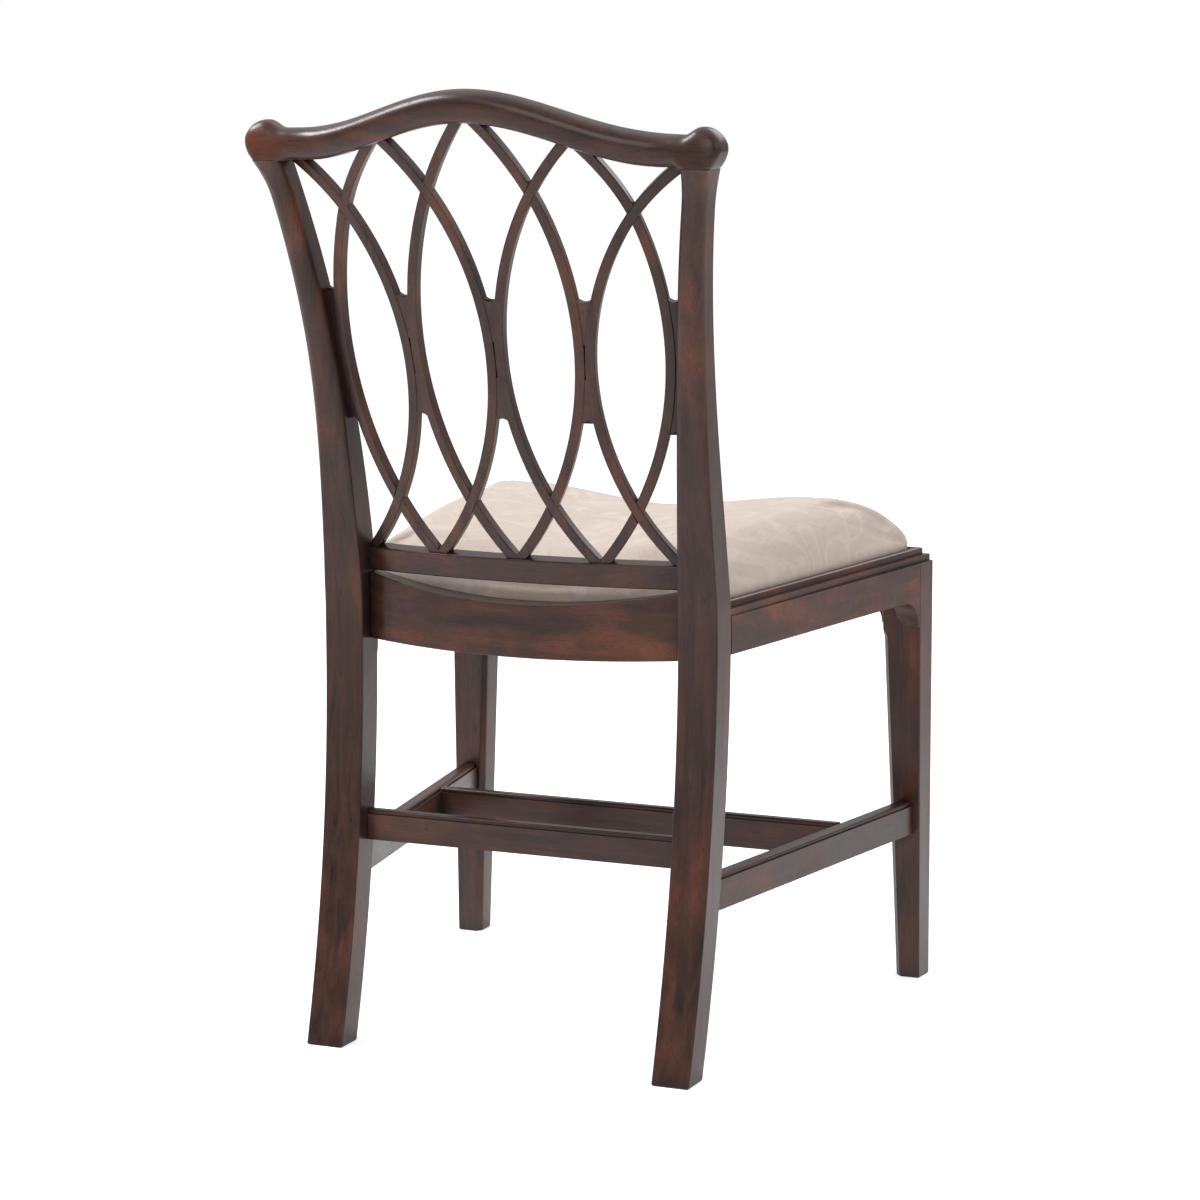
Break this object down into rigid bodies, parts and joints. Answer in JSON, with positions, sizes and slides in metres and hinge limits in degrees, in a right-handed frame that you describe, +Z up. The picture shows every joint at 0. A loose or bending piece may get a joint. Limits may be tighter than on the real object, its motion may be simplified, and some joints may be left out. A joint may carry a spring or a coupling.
{
  "type": "trellis back side chair",
  "caption": "Dining side chair with an interlaced oval trellis back, serpentine crest rail, braced square legs and a loose upholstered seat.",
  "frame": {"origin": "on the floor at the centre of the chair's overall box", "axes": "+Z up; the sitter faces -Y, so the back is at +Y; the sitter's left is +X"},
  "size_m": [0.564, 0.5928, 0.9907],
  "materials": {
    "mahogany_dark": "old waxed mahogany, dark, satin",
    "mahogany_mid": "old waxed mahogany, satin",
    "mahogany_red": "old waxed mahogany, redder, satin",
    "beech": "unpolished beech",
    "screw_steel": "dull",
    "jute": "woven jute strap",
    "foam": "open-cell cushion foam",
    "damask": "pale woven damask",
    "cambric": "black cambric"
  },
  "bodies": {
    "frame": {"rear_leg_left": "mahogany_dark", "rear_leg_right": "mahogany_dark", "front_leg_left": "mahogany_dark", "front_leg_right": "mahogany_dark", "crest_rail": "mahogany_dark", "lower_back_rail": "mahogany_mid", "trellis_bar_1": "mahogany_red", "trellis_bar_2": "mahogany_red", "trellis_bar_3": "mahogany_red", "trellis_bar_4": "mahogany_red", "trellis_bar_5": "mahogany_red", "trellis_bar_6": "mahogany_red", "trellis_bar_7": "mahogany_red", "trellis_bar_8": "mahogany_red", "trellis_spacer_1": "mahogany_red", "trellis_spacer_2": "mahogany_red", "trellis_spacer_3": "mahogany_red", "trellis_spacer_4": "mahogany_red", "trellis_spacer_5": "mahogany_red", "trellis_spacer_6": "mahogany_red", "trellis_spacer_7": "mahogany_red", "trellis_spacer_8": "mahogany_red", "seat_rail_front": "mahogany_mid", "seat_rail_rear": "mahogany_mid", "seat_rail_left": "mahogany_mid", "seat_rail_right": "mahogany_mid", "seat_moulding_front": "mahogany_mid", "seat_moulding_left": "mahogany_mid", "seat_moulding_right": "mahogany_mid", "side_stretcher_left": "mahogany_dark", "side_stretcher_right": "mahogany_dark", "rear_stretcher": "mahogany_dark", "cross_stretcher": "mahogany_dark", "corner_block_front_left": "beech", "corner_block_front_right": "beech", "corner_block_rear_left": "beech", "corner_block_rear_right": "beech", "corner_block_screws": "screw_steel"},
    "seat": {"seat_frame_front": "beech", "seat_frame_rear": "beech", "seat_frame_left": "beech", "seat_frame_right": "beech", "seat_webbing": "jute", "seat_foam": "foam", "seat_cover": "damask", "dust_cover": "cambric"}
  },
  "joints": [
    {"name": "seat_lift", "type": "slide", "parent": "frame", "child": "seat", "axis": [0, 0, 1], "range_m": [0, 0.15]}
  ]
}
